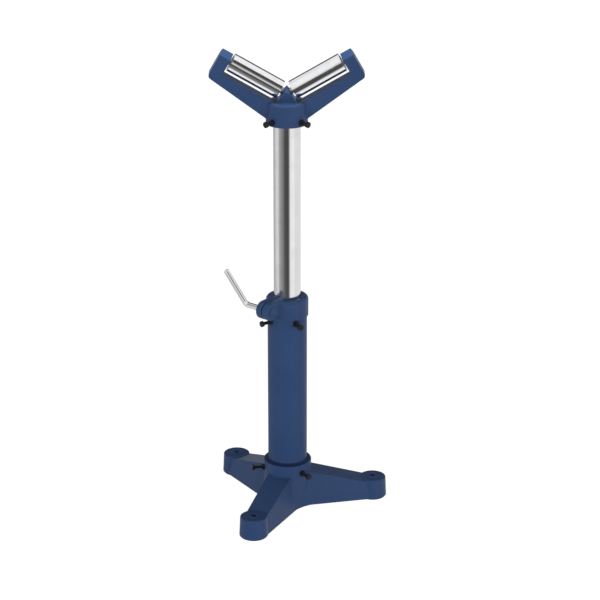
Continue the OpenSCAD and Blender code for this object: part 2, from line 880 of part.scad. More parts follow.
module bearing_balls(side) {
    color(bright_steel) for (a = [left_bearing_a, right_bearing_a])
        on_axle(side, a + bearing_w / 2)
            for (k = [0 : ball_count - 1]) rotate(k * 360 / ball_count)
                translate([ball_track_r, 0, 0]) sphere(r = ball_r);
}

module bearing_balls_left() {
    bearing_balls(-1);
}

module bearing_balls_right() {
    bearing_balls(1);
}

base_casting();
base_seal_ring();
base_set_bolts();
base_lock_nuts();
column_tube();
clamp_casting();
column_set_bolts();
column_lock_nuts();
clamp_lever();
clamp_washer();
mast_tube();
guide_bush();
bush_circlips();
head_casting();
head_set_bolts();
head_lock_nuts();
axle_left();
axle_right();
axle_grub_screws();
axle_spacers();
bearing_inner_rings();
roller_tube_left();
roller_tube_right();
roller_plugs_left();
roller_plugs_right();
bearing_outer_rings_left();
bearing_outer_rings_right();
bearing_balls_left();
bearing_balls_right();
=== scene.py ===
"""Looks of a height-adjustable roller stand: enamelled castings, chromed mast and rollers.

Everything is in metres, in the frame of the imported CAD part: +Z up along the column, +Y away
from the camera. Each sub-assembly is a class that builds its pieces and dresses its CAD nodes.
"""

import logging
import math
from dataclasses import dataclass
from enum import Enum
from typing import Iterable, Sequence

import bmesh
import bpy
import numpy as np
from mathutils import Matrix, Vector


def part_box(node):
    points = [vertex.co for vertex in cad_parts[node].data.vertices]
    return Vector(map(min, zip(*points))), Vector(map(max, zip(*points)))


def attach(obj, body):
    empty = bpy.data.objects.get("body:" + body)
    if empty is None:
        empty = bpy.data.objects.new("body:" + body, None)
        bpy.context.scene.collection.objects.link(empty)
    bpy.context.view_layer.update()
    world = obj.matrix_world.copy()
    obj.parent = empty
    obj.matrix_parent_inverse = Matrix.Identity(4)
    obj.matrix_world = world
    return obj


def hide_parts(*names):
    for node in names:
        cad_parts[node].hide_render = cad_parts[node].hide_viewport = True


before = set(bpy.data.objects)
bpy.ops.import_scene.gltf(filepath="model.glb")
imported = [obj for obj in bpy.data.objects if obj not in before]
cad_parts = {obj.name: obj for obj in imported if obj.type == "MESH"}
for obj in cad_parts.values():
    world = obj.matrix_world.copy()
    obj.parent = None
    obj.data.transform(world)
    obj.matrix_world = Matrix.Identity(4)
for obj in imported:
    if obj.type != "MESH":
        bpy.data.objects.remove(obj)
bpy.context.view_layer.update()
LOG = logging.getLogger("roller_stand")
MM = 0.001
TAU = 2.0 * math.pi
Points = np.ndarray
Edge = tuple[float, float]
Triple = tuple[float, float, float]
Colour = Triple

COLUMN_R = 44.45 * MM
CLEARANCE = 0.05 * MM  # between a dressed piece and the face beside it


# ---------------------------------------------------------------- shader expressions


class Value:
    """A socket that takes part in sums: each operation adds one Math node."""

    def __init__(self, tree: "Tree", socket: bpy.types.NodeSocket) -> None:
        """Keep the tree and the socket.

        Args:
            tree: The tree that the socket belongs to.
            socket: An output socket.
        """
        self.tree = tree
        self.socket = socket

    def _with(self, operation: str, first: "Operand", second: "Operand") -> "Value":
        """Add one Math node.

        Args:
            operation: The Math node's operation.
            first: Its first value.
            second: Its second value.

        Returns:
            The node's result.
        """
        inputs = {0: first, 1: second}
        return self.tree.node("ShaderNodeMath", {"operation": operation}, inputs)

    def __add__(self, other: "Operand") -> "Value":
        """Sum."""
        return self._with("ADD", self, other)

    def __radd__(self, other: "Operand") -> "Value":
        """Sum, reflected."""
        return self._with("ADD", other, self)

    def __sub__(self, other: "Operand") -> "Value":
        """Difference."""
        return self._with("SUBTRACT", self, other)

    def __rsub__(self, other: "Operand") -> "Value":
        """Difference, reflected."""
        return self._with("SUBTRACT", other, self)

    def __mul__(self, other: "Operand") -> "Value":
        """Product."""
        return self._with("MULTIPLY", self, other)

    def absolute(self) -> "Value":
        """Size without its sign."""
        return self._with("ABSOLUTE", self, 0.0)

    def step(self, low: float, high: float) -> "Value":
        """Smooth step: 0 at low and 1 at high, also where low is the greater.

        Args:
            low: Where the step starts.
            high: Where it ends.

        Returns:
            The step's value, from 0 to 1.
        """
        return self.tree.node(
            "ShaderNodeMapRange",
            {"interpolation_type": "SMOOTHSTEP"},
            {"Value": self, "From Min": low, "From Max": high},
        )


Operand = Value | float


class Tree:
    """A node tree that is written as expressions."""

    MIX_SHARE, MIX_FIRST, MIX_SECOND, MIX_COLOUR = 0, 6, 7, 2  # a Mix node's sockets
    BEVEL_SAMPLES = 6
    EDGE_FROM, EDGE_FULL = 0.01, 0.25  # one minus the cosine between the two normals

    def __init__(self, tree: bpy.types.NodeTree) -> None:
        """Empty the tree.

        Args:
            tree: A material's or a world's node tree.
        """
        self.tree = tree
        self.tree.nodes.clear()

    def node(
        self,
        kind: str,
        settings: dict | None = None,
        inputs: dict | None = None,
        output: int | str = 0,
    ) -> Value:
        """Add a node.

        Args:
            kind: The node's type.
            settings: Its own settings, set first.
            inputs: Constants or links, by socket name or number.
            output: Name or number of the socket that is returned.

        Returns:
            The chosen output socket, or the first input of a node without outputs.
        """
        made = self.tree.nodes.new(kind)
        for name, value in (settings or {}).items():
            setattr(made, name, value)
        for name, value in (inputs or {}).items():
            if isinstance(value, Value):
                self.tree.links.new(value.socket, made.inputs[name])
            else:
                made.inputs[name].default_value = value
        return Value(self, made.outputs[output] if made.outputs else made.inputs[0])

    def place(self) -> Value:
        """The point's Object coordinates, in metres."""
        return self.node("ShaderNodeTexCoord", output="Object")

    def parts(self, vector: Value) -> tuple[Value, Value, Value]:
        """Split a vector.

        Args:
            vector: A vector socket.

        Returns:
            Its three numbers.
        """
        split = self.node("ShaderNodeSeparateXYZ", None, {0: vector})
        outputs = split.socket.node.outputs
        return tuple(Value(self, outputs[i]) for i in range(3))

    def along(self, vector: Value, axis: Value) -> Value:
        """How far a vector reaches along an axis.

        Args:
            vector: A vector socket.
            axis: A vector socket.

        Returns:
            Their dot product.
        """
        inputs = {0: vector, 1: axis}
        return self.node("ShaderNodeVectorMath", {"operation": "DOT_PRODUCT"}, inputs, "Value")

    def noise(self, vector: Value, scale: float, detail: float = 3.0) -> Value:
        """Noise in space, about 0.5 on average.

        Args:
            vector: Where it is read.
            scale: Lumps for each metre.
            detail: How many finer layers it has.

        Returns:
            The noise's value.
        """
        inputs = {"Vector": vector, "Scale": scale, "Detail": detail}
        return self.node("ShaderNodeTexNoise", None, inputs)

    def noise_along(self, w: Value, scale: float, detail: float = 3.0) -> Value:
        """Noise that changes along one number only, such as turning marks.

        Args:
            w: The number, in metres.
            scale: Lumps for each metre.
            detail: How many finer layers it has.

        Returns:
            The noise's value.
        """
        inputs = {"W": w, "Scale": scale, "Detail": detail}
        return self.node("ShaderNodeTexNoise", {"noise_dimensions": "1D"}, inputs)

    def stretched(self, vector: Value, scale: Sequence[float]) -> Value:
        """Coordinates with each axis scaled by itself.

        Args:
            vector: A vector socket.
            scale: Three factors.

        Returns:
            The scaled vector.
        """
        inputs = {"Vector": vector, "Scale": tuple(scale)}
        return self.node("ShaderNodeMapping", None, inputs)

    def blend(self, share: Value, first: Colour, second: Colour) -> Value:
        """Mix two colours.

        Args:
            share: 0 gives the first, 1 the second.
            first: A colour.
            second: A colour.

        Returns:
            The mixed colour.
        """
        inputs = {
            self.MIX_SHARE: share,
            self.MIX_FIRST: (*first, 1.0),
            self.MIX_SECOND: (*second, 1.0),
        }
        return self.node("ShaderNodeMix", {"data_type": "RGBA"}, inputs, self.MIX_COLOUR)

    def rounded_normal(self, radius: float) -> Value:
        """The normal as if every edge were rounded.

        Args:
            radius: The edges' radius in metres.

        Returns:
            The normal.
        """
        return self.node("ShaderNodeBevel", {"samples": self.BEVEL_SAMPLES}, {"Radius": radius})

    def edges(self, rounded: Value) -> Value:
        """Where an edge is: 0 on open faces, towards 1 on edges.

        Args:
            rounded: The rounded normal.

        Returns:
            The mask.
        """
        flat = self.node("ShaderNodeNewGeometry", output="Normal")
        return (1.0 - self.along(rounded, flat)).step(self.EDGE_FROM, self.EDGE_FULL)

    def bump(self, height: Value, depth: float, normal: Value | None = None) -> Value:
        """Turn a height into a normal.

        Args:
            height: The height, from 0 to 1.
            depth: What a height of 1 is, in metres.
            normal: The normal that it starts from, or none for the face's own.

        Returns:
            The new normal.
        """
        inputs: dict = {"Height": height, "Distance": depth, "Strength": 1.0}
        if normal is not None:
            inputs["Normal"] = normal
        return self.node("ShaderNodeBump", None, inputs)


def linear(r: int, g: int, b: int) -> Colour:
    """Turn a display colour into scene light: c / 12.92 below 0.04, else a power of 2.4.

    Args:
        r: Red, from 0 to 255.
        g: Green.
        b: Blue.

    Returns:
        The three linear values.
    """
    shares = np.array([r, g, b]) / 255.0
    low, high = shares / 12.92, ((shares + 0.055) / 1.055) ** 2.4
    return tuple(float(v) for v in np.where(shares <= 0.04045, low, high))


def dimmed(colour: Colour, share: float) -> Colour:
    """Darken a colour.

    Args:
        colour: The colour.
        share: How much of its light is kept.

    Returns:
        The darker colour.
    """
    return tuple(share * c for c in colour)


# ---------------------------------------------------------------- finishes


@dataclass(frozen=True)
class Finish:
    """What every finish has: a name, and the record's slot that it stands for, which nothing
    here reads.

    The fields of the finishes are lengths in metres, lumps of noise for each metre, and
    shares from 0 to 1. The name mustn't be that of a slot, or the CAD's material is found.
    """

    name: str
    slot: str

    def material(self) -> bpy.types.Material:
        """Make the material, or find it if an earlier piece made it."""
        found = bpy.data.materials.get(self.name)
        if found:
            return found
        made = bpy.data.materials.new(self.name)
        made.use_nodes = True
        self.write(Tree(made.node_tree))
        return made

    def write(self, tree: Tree) -> None:
        """Write the nodes; each finish has its own.

        Args:
            tree: The empty tree.
        """
        raise NotImplementedError

    @staticmethod
    def surface(tree: Tree, inputs: dict) -> None:
        """Close the tree with a Principled shader.

        Args:
            tree: The tree.
            inputs: The shader's sockets.
        """
        shader = tree.node("ShaderNodeBsdfPrincipled", None, inputs)
        tree.node("ShaderNodeOutputMaterial", None, {"Surface": shader})


@dataclass(frozen=True)
class Enamel(Finish):
    """Satin blue enamel. Castings show the sand's grain through it, pipe only a faint peel."""

    colour: Colour
    light: Colour
    index: float
    grain: float
    grain_depth: float
    edge: float
    drift_lumps: float = 9.0
    peel_lumps: float = 650.0
    peel_depth: float = 0.006 * MM
    tone_and_highlight_share: float = 0.35
    roughness: float = 0.32
    sand_dulls: float = 0.10
    edge_shines: float = 0.05

    def write(self, tree: Tree) -> None:
        """Colour drifts slowly, grain and peel are bumps, and edges get a painted highlight."""
        place = tree.place()
        drift = tree.noise(place, self.drift_lumps)
        sand = tree.noise(place, 1.0 / self.grain)
        peel = tree.noise(place, self.peel_lumps, 1.0)
        rounded = tree.rounded_normal(self.edge)
        edge = tree.edges(rounded)
        # Painted highlight: the edge mask lightens the base colour along every edge. The slow
        # drift is the enamel's own uneven tone.
        light = drift.step(0.3, 0.7) * self.tone_and_highlight_share + edge * self.tone_and_highlight_share
        grained = tree.bump(sand, self.grain_depth, rounded)
        self.surface(
            tree,
            {
                "Base Color": tree.blend(light, self.colour, self.light),
                "Roughness": self.roughness + sand * self.sand_dulls - edge * self.edge_shines,
                "IOR": self.index,
                "Normal": tree.bump(peel, self.peel_depth, grained),
            },
        )


@dataclass(frozen=True)
class Chrome(Finish):
    """Bright chrome plate over drawn steel, with fine marks along its axis."""

    tint: Colour
    roughness: float
    marks: Triple
    edge: float
    mark_depth: float = 0.004 * MM
    cloud_lumps: float = 28.0
    clouded: float = 0.93
    uneven: float = 0.05

    def write(self, tree: Tree) -> None:
        """Marks are noise stretched along the polish, and clouding dulls it a little."""
        place = tree.place()
        marks = tree.noise(tree.stretched(place, self.marks), 1.0)
        cloud = tree.noise(place, self.cloud_lumps)
        rounded = tree.rounded_normal(self.edge)
        clouded = dimmed(self.tint, self.clouded)
        dulled = self.roughness + (cloud - 0.5) * self.uneven
        self.surface(
            tree,
            {
                "Base Color": tree.blend(cloud.step(0.35, 0.75), self.tint, clouded),
                "Metallic": 1.0,
                "Roughness": dulled + (marks - 0.5) * self.uneven,
                "Normal": tree.bump(marks, self.mark_depth, rounded),
            },
        )


@dataclass(frozen=True)
class RolledChrome(Finish):
    """Chrome on a roller: ground round and round, so its marks are rings across the axis."""

    tint: Colour
    roughness: float
    slope: float
    edge: float = 0.5 * MM
    ring_lumps: float = 1400.0
    ring_depth: float = 0.004 * MM
    band_lumps: float = 120.0
    band_dulls: float = 0.08
    cloud_lumps: float = 60.0
    cloud_dulls: float = 0.06
    clouded: float = 0.92

    def write(self, tree: Tree) -> None:
        """Rings are noise along the axis; the distance along it is the same on both sides."""
        place = tree.place()
        x, _, z = tree.parts(place)
        reach = x.absolute() * math.cos(self.slope) + z * math.sin(self.slope)
        rings = tree.noise_along(reach, self.ring_lumps)
        bands = tree.noise_along(reach, self.band_lumps, 2.0)
        cloud = tree.noise(place, self.cloud_lumps)
        rounded = tree.rounded_normal(self.edge)
        clouded = dimmed(self.tint, self.clouded)
        dulled = self.roughness + (bands - 0.5) * self.band_dulls
        self.surface(
            tree,
            {
                "Base Color": tree.blend(cloud.step(0.4, 0.8), self.tint, clouded),
                "Metallic": 1.0,
                "Roughness": dulled + (cloud - 0.5) * self.cloud_dulls,
                "Normal": tree.bump(rings, self.ring_depth, rounded),
            },
        )


@dataclass(frozen=True)
class BlackOxide(Finish):
    """Oiled black oxide on bolts and nuts, rubbed a little on its edges."""

    colour: Colour
    rubbed: Colour
    metallic: float = 0.35
    roughness: float = 0.42
    edge: float = 0.35 * MM
    edge_rubs: float = 0.4
    oil_lumps: float = 420.0
    oil_depth: float = 0.01 * MM
    oil_stains: float = 0.2

    def write(self, tree: Tree) -> None:
        """Blotches of oil change the gloss, and the edge mask rubs the black."""
        oil = tree.noise(tree.place(), self.oil_lumps)
        rounded = tree.rounded_normal(self.edge)
        worn = tree.edges(rounded) * self.edge_rubs + oil.step(0.5, 0.9) * self.oil_stains
        self.surface(
            tree,
            {
                "Base Color": tree.blend(worn, self.colour, self.rubbed),
                "Metallic": self.metallic,
                "Roughness": self.roughness + oil * self.oil_stains,
                "Normal": tree.bump(oil, self.oil_depth, rounded),
            },
        )


@dataclass(frozen=True)
class TurnedSteel(Finish):
    """Bare turned or drawn steel, with a fine matt grain."""

    tint: Colour
    roughness: float
    edge: float = 0.3 * MM
    grain_lumps: float = 900.0
    grain_depth: float = 0.01 * MM
    worn_lumps: float = 70.0
    worn_tint: float = 0.8
    worn_dulls: float = 0.12

    def write(self, tree: Tree) -> None:
        """Two sizes of noise: one for the tool's marks and one for handling."""
        place = tree.place()
        fine = tree.noise(place, self.grain_lumps, 2.0)
        worn = tree.noise(place, self.worn_lumps, 2.0)
        rounded = tree.rounded_normal(self.edge)
        self.surface(
            tree,
            {
                "Base Color": tree.blend(worn, self.tint, dimmed(self.tint, self.worn_tint)),
                "Metallic": 1.0,
                "Roughness": self.roughness + (worn - 0.5) * self.worn_dulls,
                "Normal": tree.bump(fine, self.grain_depth, rounded),
            },
        )


@dataclass(frozen=True)
class Bronze(Finish):
    """Sintered bronze: dull, with open pores."""

    tint: Colour
    metallic: float = 0.9
    roughness: float = 0.55
    pore_lumps: float = 1500.0
    pore_depth: float = 0.02 * MM
    pore_tint: float = 0.5
    open_shines: float = 0.12

    def write(self, tree: Tree) -> None:
        """Pores are the low spots of a fine noise, darker and sunk."""
        height = tree.noise(tree.place(), self.pore_lumps, 2.0).step(0.35, 0.5)
        self.surface(
            tree,
            {
                "Base Color": tree.blend(height, dimmed(self.tint, self.pore_tint), self.tint),
                "Metallic": self.metallic,
                "Roughness": self.roughness - height * self.open_shines,
                "Normal": tree.bump(height, self.pore_depth),
            },
        )


@dataclass(frozen=True)
class Rubber(Finish):
    """Moulded rubber, matt, with a faint dust. The seal's dark navy colour is painted shade of
    the groove that it fills.
    """

    colour: Colour
    dusty: Colour
    index: float = 1.3
    roughness: float = 0.62
    edge: float = 0.4 * MM
    dust_lumps: float = 45.0
    dust_dulls: float = 0.12
    dust_lightens: float = 0.6
    grain_lumps: float = 1100.0
    grain_depth: float = 0.02 * MM

    def write(self, tree: Tree) -> None:
        """Mould grain is a fine bump, and dust lightens it in soft spots."""
        place = tree.place()
        dust = tree.noise(place, self.dust_lumps)
        grain = tree.noise(place, self.grain_lumps, 2.0)
        spots = dust.step(0.45, 0.8) * self.dust_lightens
        rounded = tree.rounded_normal(self.edge)
        self.surface(
            tree,
            {
                "Base Color": tree.blend(spots, self.colour, self.dusty),
                "Roughness": self.roughness + dust * self.dust_dulls,
                "IOR": self.index,
                "Normal": tree.bump(grain, self.grain_depth, rounded),
            },
        )


BLUE = linear(42, 64, 101)
# The lighter blue that the enamel's slow drift and its painted edge highlight move towards.
BLUE_LIGHT = linear(51, 73, 111)
CASTING = Enamel(
    "casting_enamel",
    "blue_paint",
    BLUE,
    BLUE_LIGHT,
    index=1.25,
    grain=7.0 * MM,
    grain_depth=0.05 * MM,
    edge=1.6 * MM,
)
PIPE = Enamel(
    "pipe_enamel",
    "blue_paint",
    BLUE,
    BLUE_LIGHT,
    index=1.2,
    grain=22.0 * MM,
    grain_depth=0.03 * MM,
    edge=0.6 * MM,
)
MAST_CHROME = Chrome(
    "mast_chrome",
    "chrome",
    (0.93, 0.93, 0.94),
    roughness=0.12,
    marks=(520.0, 520.0, 4.0),
    edge=0.4 * MM,
)
LEVER_CHROME = Chrome(
    "lever_chrome",
    "chrome",
    (0.9, 0.9, 0.9),
    roughness=0.08,
    marks=(300.0, 300.0, 60.0),
    edge=0.5 * MM,
)
ROLLER_CHROME = RolledChrome(
    "roller_chrome", "chrome", (0.97, 0.97, 0.99), roughness=0.1, slope=math.radians(30.0)
)
OXIDE = BlackOxide("black_oxide", "black_steel", (0.006, 0.007, 0.009), (0.06, 0.06, 0.065))
STEEL = TurnedSteel("turned_steel", "bright_steel", (0.58, 0.58, 0.6), roughness=0.32)
BUSH_BRONZE = Bronze("sintered_bronze", "bronze", (0.52, 0.36, 0.17))
# The seal ring's dark navy colour is painted shade: it stands in for the shade deep in the
# groove round the column. The lighter spots are dust.
SEAL_RUBBER_PAINTED_SHADE = Rubber(
    "seal_rubber_painted_shade", "seal_rubber", (0.004, 0.016, 0.062), (0.01, 0.026, 0.08)
)


# ---------------------------------------------------------------- surfaces


SMOOTH_SHARP = 32.0
HEX_SHARP = 25.0
LEVER_SHARP = 38.0
MERGE = 1e-6
SLIVER = 1e-7
UP = np.array([0.0, 0.0, 1.0])

THREAD_ROWS = 5  # rows of points for each pitch
THREAD_DEPTH = 0.6  # in pitches
THREAD_INSET = 0.02 * MM  # keeps the crests inside the solid's plain cylinder

HEX_FACE = 0.97  # a chamfered face's radius, in half flats
HEX_CORNER = 0.19  # how far a corner stands out beyond it, in half flats
HEX_BACK = 0.35  # the lower chamfer over the upper
HEX_DEEPEST = 0.45  # the deepest chamfer over the thickness


def linked(name: str, data: bpy.types.ID) -> bpy.types.Object:
    """Put data into the scene.

    Args:
        name: The object's name.
        data: A mesh, a lamp or a camera.

    Returns:
        The object, at the origin.
    """
    made = bpy.data.objects.new(name, data)
    bpy.context.scene.collection.objects.link(made)
    return made


def shade(mesh: bpy.types.Mesh, sharp: float) -> None:
    """Shade a mesh smooth, but not over its sharp edges.

    Args:
        mesh: The mesh.
        sharp: Edges that turn by more than this, in degrees, stay sharp.
    """
    mesh.polygons.foreach_set("use_smooth", np.ones(len(mesh.polygons), bool))
    mesh.set_sharp_from_angle(angle=math.radians(sharp))


def grid_mesh(
    name: str, points: Points, around: bool = True, sharp: float = SMOOTH_SHARP
) -> bpy.types.Object:
    """Put a grid of points into a mesh of quads.

    Face (i, j) joins the grid's points (i, j), (i, j+1), (i+1, j+1) and (i+1, j), where j+1
    wraps if the columns go round. Coincident points, as at a pole, are merged, and the
    normals are turned outwards.

    Args:
        name: The object's name.
        points: An array of rows, columns and 3.
        around: Whether the columns go round.
        sharp: Edges that turn by more than this, in degrees, stay sharp.

    Returns:
        The object, at the origin.
    """
    rows, cols = points.shape[:2]
    spans = cols if around else cols - 1
    i, j = np.meshgrid(np.arange(rows - 1), np.arange(spans), indexing="ij")
    here, ahead, right = i * cols, (i + 1) * cols, (j + 1) % cols
    faces = np.stack([here + j, here + right, ahead + right, ahead + j], -1)
    mesh = bpy.data.meshes.new(name)
    mesh.from_pydata(points.reshape(-1, 3).tolist(), [], faces.reshape(-1, 4).tolist())
    work = bmesh.new()
    work.from_mesh(mesh)
    bmesh.ops.remove_doubles(work, verts=work.verts, dist=MERGE)
    bmesh.ops.dissolve_degenerate(work, dist=SLIVER, edges=work.edges)
    bmesh.ops.recalc_face_normals(work, faces=work.faces)
    work.to_mesh(mesh)
    work.free()
    shade(mesh, sharp)
    return linked(name, mesh)


def joined(name: str, parts: Iterable[bpy.types.Object], sharp: float) -> bpy.types.Object:
    """Join objects into one piece.

    Args:
        name: The piece's name.
        parts: The objects, which are used up.
        sharp: Edges that turn by more than this, in degrees, stay sharp.

    Returns:
        The piece.
    """
    work = bmesh.new()
    for part in parts:
        used = part.data
        work.from_mesh(used)
        bpy.data.objects.remove(part)
        bpy.data.meshes.remove(used)
    mesh = bpy.data.meshes.new(name)
    work.to_mesh(mesh)
    work.free()
    shade(mesh, sharp)
    return linked(name, mesh)


def arc(
    centre: tuple[float, float], radius: float, start: float, end: float, steps: int
) -> Points:
    """Points of an arc: centre plus radius times the cosine and sine of evenly spaced angles.

    Args:
        centre: The arc's centre.
        radius: Its radius; a negative one turns it by half a turn.
        start: Its first angle, in degrees.
        end: Its last angle.
        steps: How many steps it has.

    Returns:
        An array of steps + 1 points.
    """
    turn = np.radians(np.linspace(start, end, steps + 1))
    return np.stack([centre[0] + radius * np.cos(turn), centre[1] + radius * np.sin(turn)], 1)


def full_turn(columns: int) -> Points:
    """Evenly spaced angles of one turn, in radians, without the last, which is the first."""
    return np.linspace(0.0, TAU, columns, endpoint=False)


def turned(r: Points | float, z: Points | float, turn: Points) -> Points:
    """Points round the local z axis: (r cos t, r sin t, z).

    Args:
        r: Radius, one number or one for each point.
        z: Height, likewise.
        turn: Angles in radians.

    Returns:
        An array that ends in x, y and z.
    """
    return np.stack([r * np.cos(turn), r * np.sin(turn), z * np.ones_like(turn)], -1)


def revolved(profile: Points, around: int) -> Points:
    """Turn a profile round the local z axis.

    Args:
        profile: Rows of radius and height.
        around: Columns of one turn.

    Returns:
        An array of rows, columns and 3.
    """
    return turned(profile[:, :1], profile[:, 1:], full_turn(around))


@dataclass(frozen=True)
class Axis:
    """A level line in the row frame with a start, along which a piece's own z runs."""

    start: Vector
    along: Vector

    def carry(self, points: Points) -> Points:
        """Place points: start + x times side + y times up + z times along.

        Args:
            points: An array that ends in x, y and z in the piece's own frame.

        Returns:
            The same array in the row frame.
        """
        along = np.array(self.along.normalized())
        side = np.cross(UP, along)
        side = side / np.linalg.norm(side)
        return np.array(self.start) + points @ np.stack([side, np.cross(along, side), along])


def radial(angle: float, height: float) -> Axis:
    """An axis that points straight outwards from the column's own.

    Args:
        angle: Its direction from +X, in degrees.
        height: Its height.

    Returns:
        The axis.
    """
    turn = math.radians(angle)
    return Axis(Vector((0.0, 0.0, height)), Vector((math.cos(turn), math.sin(turn), 0.0)))


def hexagon(flats: float, angles: Points) -> Points:
    """Radius of a hexagon: half its flats over the cosine of the angle from the nearest flat.

    Args:
        flats: Width across the flats.
        angles: Angles in radians.

    Returns:
        The radius at each angle.
    """
    half = TAU / 12.0
    nearest = (angles + half) % (2.0 * half) - half
    return flats / 2.0 / np.cos(nearest)


def thread(radius: float, pitch: float, start: float, end: float, around: int = 30) -> Points:
    """A screw thread: the radius falls by a cosine wave of height minus turn.

    The wave's phase is z / pitch - t / (one turn), so its crests climb one pitch a turn, and
    it runs out to nothing over the last half pitch at each end.

    Args:
        radius: Outer radius.
        pitch: Distance between two crests.
        start: Where it starts.
        end: Where it ends.
        around: Columns of one turn.

    Returns:
        An array of rows, columns and 3.
    """
    rows = int(round((end - start) / pitch * THREAD_ROWS))
    z = np.linspace(start, end, rows + 1)[:, None]
    turn = full_turn(around)[None, :]
    wave = 0.5 + 0.5 * np.cos(TAU * (z / pitch - turn / TAU))
    fade = np.clip(np.minimum(z - start, end - z) / (0.5 * pitch), 0.0, 1.0)
    depth = THREAD_DEPTH * pitch * (1.0 - wave) * fade
    return turned(radius - depth - THREAD_INSET, z, turn)


def hex_body(flats: float, thick: float, bore: float, bevel: float, around: int = 72) -> Points:
    """A hexagon nut or head: the hexagon's radius, cut by a cone at each chamfered face.

    The profile goes up the bore, out over the top, down the flats and back under the bottom.

    Args:
        flats: Width across the flats.
        thick: Thickness.
        bore: Radius of the bore, or 0 for a head.
        bevel: How far the top's chamfer reaches down at the corners.
        around: Columns of one turn.

    Returns:
        An array of rows, columns and 3.
    """
    turn = full_turn(around)
    side = hexagon(flats, turn)
    face = flats / 2.0 * HEX_FACE
    slope = bevel / (flats / 2.0 * HEX_CORNER)
    drop = np.clip((side - face) * slope, 0.0, thick * HEX_DEEPEST)
    rows = [
        (bore, 0.0),
        (bore, thick),
        (face, thick),
        (side, thick - drop),
        (side, drop * HEX_BACK),
        (face, 0.0),
        (bore, 0.0),
    ]
    return np.stack([turned(r, z, turn) for r, z in rows])


# ---------------------------------------------------------------- pieces


def dress(node: str, finish: Finish) -> None:
    """Give a CAD node its finish.

    Args:
        node: The node's name.
        finish: Its finish.
    """
    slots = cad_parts[node].data.materials
    slots.clear()
    slots.append(finish.material())
    LOG.info("dressed %s in %s", node, finish.name)


def seat(piece: bpy.types.Object, body: str, finish: Finish, *nodes: str) -> None:
    """Give a new piece its finish and its body, and hide the CAD nodes that it stands for.

    Args:
        piece: The piece.
        body: The CAD body that it rides on.
        finish: Its finish.
        nodes: The CAD nodes that it replaces.
    """
    piece.data.materials.append(finish.material())
    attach(piece, body)
    if nodes:
        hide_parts(*nodes)
    LOG.info("built %s on %s, %d faces", piece.name, body, len(piece.data.polygons))


@dataclass(frozen=True)
class BoltRing:
    """Set bolts with lock nuts, all at one height, that point outwards at given angles."""

    body: str
    bolts_node: str
    nuts_node: str
    angles: Sequence[float]
    height: float
    tip: float
    surface: float
    reach: float
    thread_r: float = 4.0 * MM
    pitch: float = 1.25 * MM
    flats: float = 13.0 * MM
    head_t: float = 5.3 * MM
    head_bevel: float = 1.1 * MM
    tip_bevel: float = 0.8 * MM
    nut_t: float = 6.5 * MM
    nut_bevel: float = 1.0 * MM

    def bolt(self, angle: float) -> bpy.types.Object:
        """One bolt: a narrowed tip, a thread and a hexagon head with a turned-off top.

        Args:
            angle: Its direction from +X, in degrees.

        Returns:
            The bolt.
        """
        axis = radial(angle, self.height)
        head = self.reach - self.head_t
        shank = thread(self.thread_r, self.pitch, self.tip + self.tip_bevel, head)
        turn = full_turn(shank.shape[1])
        radii = (0.0, self.thread_r - self.tip_bevel)
        tip = np.stack([turned(r, self.tip, turn) for r in radii])
        rows = np.concatenate([tip, shank, shank[-1:] * UP])
        cap = hex_body(self.flats, self.head_t, 0.0, self.head_bevel)
        cap[..., 2] += head
        parts = [
            grid_mesh("bolt_shank", axis.carry(rows)),
            grid_mesh("bolt_head", axis.carry(cap), sharp=HEX_SHARP),
        ]
        return joined("bolt", parts, HEX_SHARP)

    def nut(self, angle: float) -> bpy.types.Object:
        """One lock nut against the surface.

        Args:
            angle: Its direction from +X, in degrees.

        Returns:
            The nut.
        """
        body = hex_body(self.flats, self.nut_t, self.thread_r + CLEARANCE, self.nut_bevel)
        body[..., 2] += self.surface
        return grid_mesh("nut", radial(angle, self.height).carry(body), sharp=HEX_SHARP)

    def build(self) -> None:
        """Build the ring's bolts as one piece and its nuts as another."""
        bolts = [self.bolt(angle) for angle in self.angles]
        nuts = [self.nut(angle) for angle in self.angles]
        for parts, node, word in (
            (bolts, self.bolts_node, "threaded"),
            (nuts, self.nuts_node, "chamfered"),
        ):
            seat(joined(f"{node}_{word}", parts, HEX_SHARP), self.body, OXIDE, node)


@dataclass(frozen=True)
class Base:
    """The cast base with its seal ring and set bolts."""

    leg_turn: float = 7.5
    hub_r: float = 54.45 * MM
    bolt_out: float = 28.0 * MM
    foot_r: float = 0.35 * MM
    foot_in: float = 0.2 * MM
    hollow_in: float = 2.6 * MM
    hollow_down: float = 1.2 * MM
    lip_r: float = 0.8 * MM
    lip_in: float = 1.0 * MM

    def seal(self) -> bpy.types.Object:
        """The seal ring, revolved: a rounded foot, a hollow, and a lip against the column."""
        low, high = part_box("base_seal_ring")
        inner, outer = COLUMN_R + CLEARANCE, high.x
        bottom, top = low.z, high.z
        foot = (outer - self.foot_r, bottom + self.foot_r)
        hollow = (inner + self.hollow_in, top - self.hollow_down)
        lip = (inner + self.lip_in, top - self.lip_r)
        profile = np.concatenate(
            [
                [[inner, bottom], [outer - self.foot_in, bottom]],
                arc(foot, self.foot_r, -90, 40, 5),
                arc(hollow, -self.lip_r, 40, 10, 3)[::-1],
                arc(lip, self.lip_r, 20, 90, 5),
                [[inner, top], [inner, bottom]],
            ]
        )
        return grid_mesh("base_seal_ring_lip", revolved(profile, 120))

    def build(self) -> None:
        """Dress the casting, and build the ring and the bolts."""
        dress("base_casting", CASTING)
        seat(self.seal(), "stand", SEAL_RUBBER_PAINTED_SHADE, "base_seal_ring")
        low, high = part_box("base_set_bolts")
        BoltRing(
            "stand",
            "base_set_bolts",
            "base_lock_nuts",
            angles=[self.leg_turn + 60.0 + 120.0 * k for k in range(3)],
            height=(low.z + high.z) / 2.0,
            tip=COLUMN_R + CLEARANCE,
            surface=self.hub_r,
            reach=self.hub_r + self.bolt_out,
        ).build()


